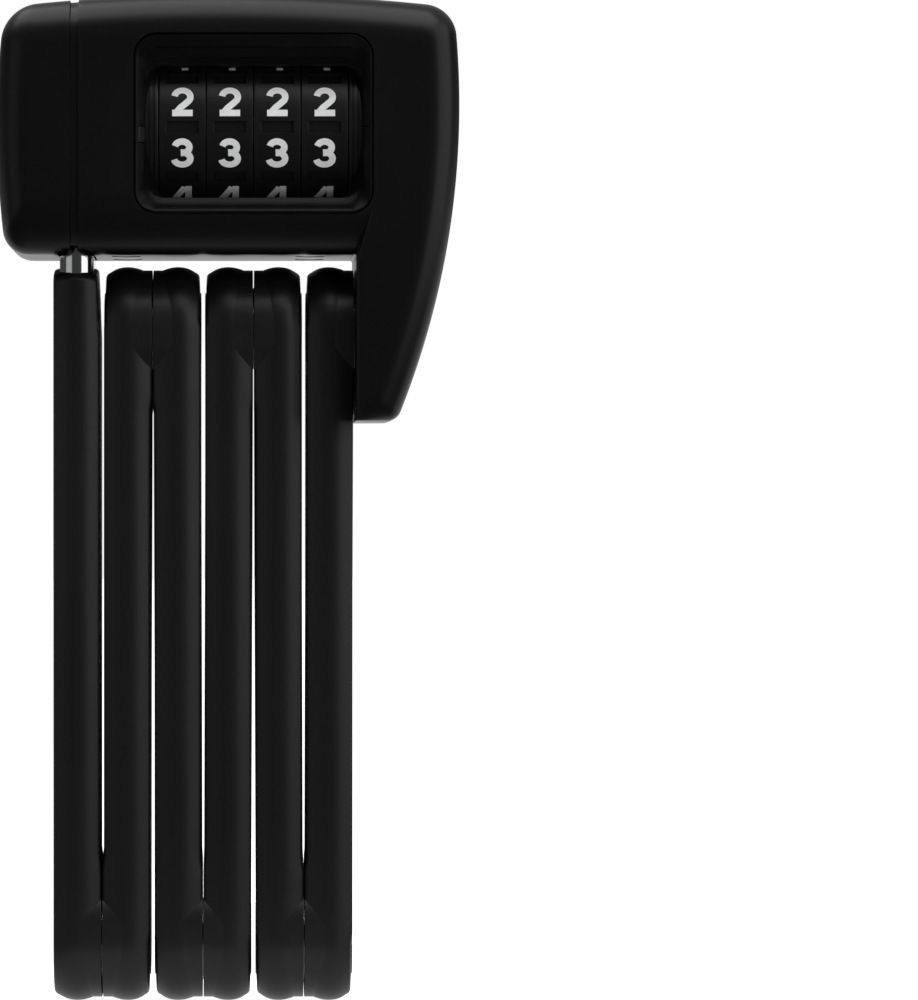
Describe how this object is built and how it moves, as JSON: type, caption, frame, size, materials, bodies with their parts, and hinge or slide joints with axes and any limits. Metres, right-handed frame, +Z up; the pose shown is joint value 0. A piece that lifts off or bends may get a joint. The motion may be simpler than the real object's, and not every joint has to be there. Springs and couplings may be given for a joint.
{
  "type": "folding bike lock",
  "caption": "Folding bicycle lock: jacketed steel bars riveted end to end in a flat stack, with a housing that holds a code lock and a socket for the last bar's tongue.",
  "frame": {"origin": "bottom centre of the folded lock's box, under the ends of the bars", "axes": "+Z up along the bars towards the housing, +X across the stack of bars towards the leg, -Y towards the code window"},
  "size_m": [0.0674, 0.029, 0.1476],
  "materials": {
    "housing_plastic": "satin moulded black plastic with a fine grain",
    "bar_plastic": "satin black jacket",
    "wheel_plastic": "satin black wheel with pale filled digits",
    "key_plastic": "dark grey moulded key",
    "bar_steel": "polished hardened steel",
    "plate_steel": "zinc-plated steel",
    "cast_metal": "bare die-cast metal",
    "spring_steel": "spring steel",
    "brass": "turned brass"
  },
  "bodies": {
    "housing": {"front_shell": "housing_plastic", "rear_shell": "housing_plastic", "end_cap": "housing_plastic", "window_frame": "housing_plastic", "wheel_collars": "wheel_plastic", "chassis": "cast_metal", "socket_guide": "plate_steel", "leg_plate": "plate_steel", "leg_rivet": "plate_steel", "leg_washer": "plate_steel", "detent_spring": "spring_steel", "latch_spring": "spring_steel", "shell_screws": "plate_steel"},
    "latch": {"latch_spindle": "plate_steel"},
    "code_key": {"code_set_key": "key_plastic"},
    "wheel_1": {"code_wheel_1": "wheel_plastic", "code_hub_1": "brass"},
    "wheel_2": {"code_wheel_2": "wheel_plastic", "code_hub_2": "brass"},
    "wheel_3": {"code_wheel_3": "wheel_plastic", "code_hub_3": "brass"},
    "wheel_4": {"code_wheel_4": "wheel_plastic", "code_hub_4": "brass"},
    "bar_1": {"bar_core_1": "bar_steel", "bar_jacket_1": "bar_plastic", "rivet_caps_1": "bar_plastic"},
    "bar_2": {"bar_core_2": "bar_steel", "bar_jacket_2": "bar_plastic", "rivet_caps_2": "bar_plastic", "bar_rivet_1": "plate_steel", "bar_washer_1": "plate_steel"},
    "bar_3": {"bar_core_3": "bar_steel", "bar_jacket_3": "bar_plastic", "rivet_caps_3": "bar_plastic", "bar_rivet_2": "plate_steel", "bar_washer_2": "plate_steel"},
    "bar_4": {"bar_core_4": "bar_steel", "bar_jacket_4": "bar_plastic", "rivet_caps_4": "bar_plastic", "bar_rivet_3": "plate_steel", "bar_washer_3": "plate_steel"},
    "bar_5": {"bar_core_5": "bar_steel", "bar_jacket_5": "bar_plastic", "rivet_caps_5": "bar_plastic", "bar_rivet_4": "plate_steel", "bar_washer_4": "plate_steel"},
    "bar_6": {"bar_core_6": "bar_steel", "bar_jacket_6": "bar_plastic", "rivet_caps_6": "bar_plastic", "bar_rivet_5": "plate_steel", "bar_washer_5": "plate_steel"}
  },
  "joints": [
    {"name": "leg_pivot", "type": "hinge", "parent": "housing", "child": "bar_6", "pos_m": [0.0148, 0, 0.0991], "axis": [1, 0, 0], "range_deg": [0, 90]},
    {"name": "bar_pivot_5", "type": "hinge", "parent": "bar_6", "child": "bar_5", "pos_m": [0.0111, 0, 0.0091], "axis": [1, 0, 0], "range_deg": [0, 90]},
    {"name": "bar_pivot_4", "type": "hinge", "parent": "bar_5", "child": "bar_4", "pos_m": [0.0037, 0, 0.0991], "axis": [1, 0, 0], "range_deg": [-180, 0]},
    {"name": "bar_pivot_3", "type": "hinge", "parent": "bar_4", "child": "bar_3", "pos_m": [-0.0037, 0, 0.0091], "axis": [1, 0, 0], "range_deg": [-180, 0]},
    {"name": "bar_pivot_2", "type": "hinge", "parent": "bar_3", "child": "bar_2", "pos_m": [-0.0111, 0, 0.0991], "axis": [1, 0, 0], "range_deg": [0, 90]},
    {"name": "bar_pivot_1", "type": "hinge", "parent": "bar_2", "child": "bar_1", "pos_m": [-0.0185, 0, 0.0091], "axis": [1, 0, 0], "range_deg": [0, 90]},
    {"name": "wheel_1_spin", "type": "hinge", "parent": "housing", "child": "wheel_1", "pos_m": [-0.00665, 0, 0.1283], "axis": [1, 0, 0], "continuous": true},
    {"name": "wheel_2_spin", "type": "hinge", "parent": "housing", "child": "wheel_2", "pos_m": [0.00025, 0, 0.1283], "axis": [1, 0, 0], "continuous": true},
    {"name": "wheel_3_spin", "type": "hinge", "parent": "housing", "child": "wheel_3", "pos_m": [0.00715, 0, 0.1283], "axis": [1, 0, 0], "continuous": true},
    {"name": "wheel_4_spin", "type": "hinge", "parent": "housing", "child": "wheel_4", "pos_m": [0.01405, 0, 0.1283], "axis": [1, 0, 0], "continuous": true},
    {"name": "latch_slide", "type": "slide", "parent": "housing", "child": "latch", "axis": [-1, 0, 0], "range_m": [0, 0.0024]},
    {"name": "code_key_slide", "type": "slide", "parent": "housing", "child": "code_key", "axis": [-1, 0, 0], "range_m": [0, 0.0008]}
  ],
  "couplings": [
    {"joint": "bar_pivot_5", "follows": "leg_pivot", "ratio": 1},
    {"joint": "bar_pivot_4", "follows": "leg_pivot", "ratio": -2},
    {"joint": "bar_pivot_3", "follows": "leg_pivot", "ratio": -2},
    {"joint": "bar_pivot_2", "follows": "leg_pivot", "ratio": 1},
    {"joint": "bar_pivot_1", "follows": "leg_pivot", "ratio": 1}
  ]
}
